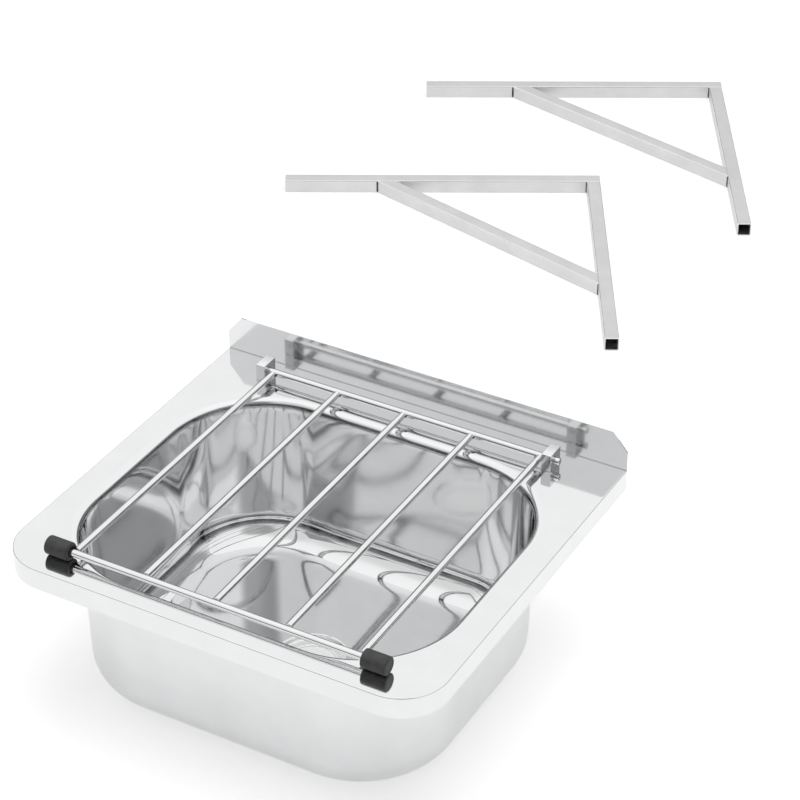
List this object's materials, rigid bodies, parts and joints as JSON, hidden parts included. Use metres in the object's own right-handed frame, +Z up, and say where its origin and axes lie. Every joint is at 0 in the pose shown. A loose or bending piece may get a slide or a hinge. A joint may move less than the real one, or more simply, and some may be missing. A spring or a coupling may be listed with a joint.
{
  "type": "mop service sink",
  "caption": "Wall-hung mop sink: pressed steel bowl in a folded deck with a low upstand, hinged bucket grate with rubber caps, loose square-tube wall brackets.",
  "frame": {"origin": "on the floor, in the middle of the ground that the sink and the two brackets cover together", "axes": "+X to the right of someone standing in front of the sink, +Y towards the wall behind it, +Z up"},
  "size_m": [0.8264, 1.667, 0.2337],
  "materials": {
    "polished_steel": "mirror polished",
    "rod_steel": "polished round bar",
    "satin_steel": "satin",
    "rubber": "matt black"
  },
  "bodies": {
    "sink": {"bowl": "polished_steel", "deck_skirt": "polished_steel", "deck_top": "polished_steel", "hinge_block_left": "polished_steel", "hinge_block_right": "polished_steel", "splashback": "polished_steel"},
    "grate": {"grate_bar_1": "rod_steel", "grate_bar_2": "rod_steel", "grate_bar_3": "rod_steel", "grate_bar_4": "rod_steel", "grate_bar_5": "rod_steel", "grate_cap_left": "rubber", "grate_cap_right": "rubber", "grate_front_rod": "rod_steel", "grate_hinge_rod": "rod_steel"},
    "bracket_near": {"bracket_near_arm": "satin_steel", "bracket_near_brace": "satin_steel", "bracket_near_leg": "satin_steel"},
    "bracket_far": {"bracket_far_arm": "satin_steel", "bracket_far_brace": "satin_steel", "bracket_far_leg": "satin_steel"}
  },
  "joints": [
    {"name": "grate_hinge", "type": "hinge", "parent": "sink", "child": "grate", "pos_m": [0.16399, -0.41779, 0.2], "axis": [-1, 0, 0], "range_deg": [0, 93]},
    {"name": "bracket_near_lift", "type": "slide", "parent": "sink", "child": "bracket_near", "axis": [0, 0, 1], "range_m": [0, 0.25]},
    {"name": "bracket_far_lift", "type": "slide", "parent": "sink", "child": "bracket_far", "axis": [0, 0, 1], "range_m": [0, 0.25]}
  ]
}
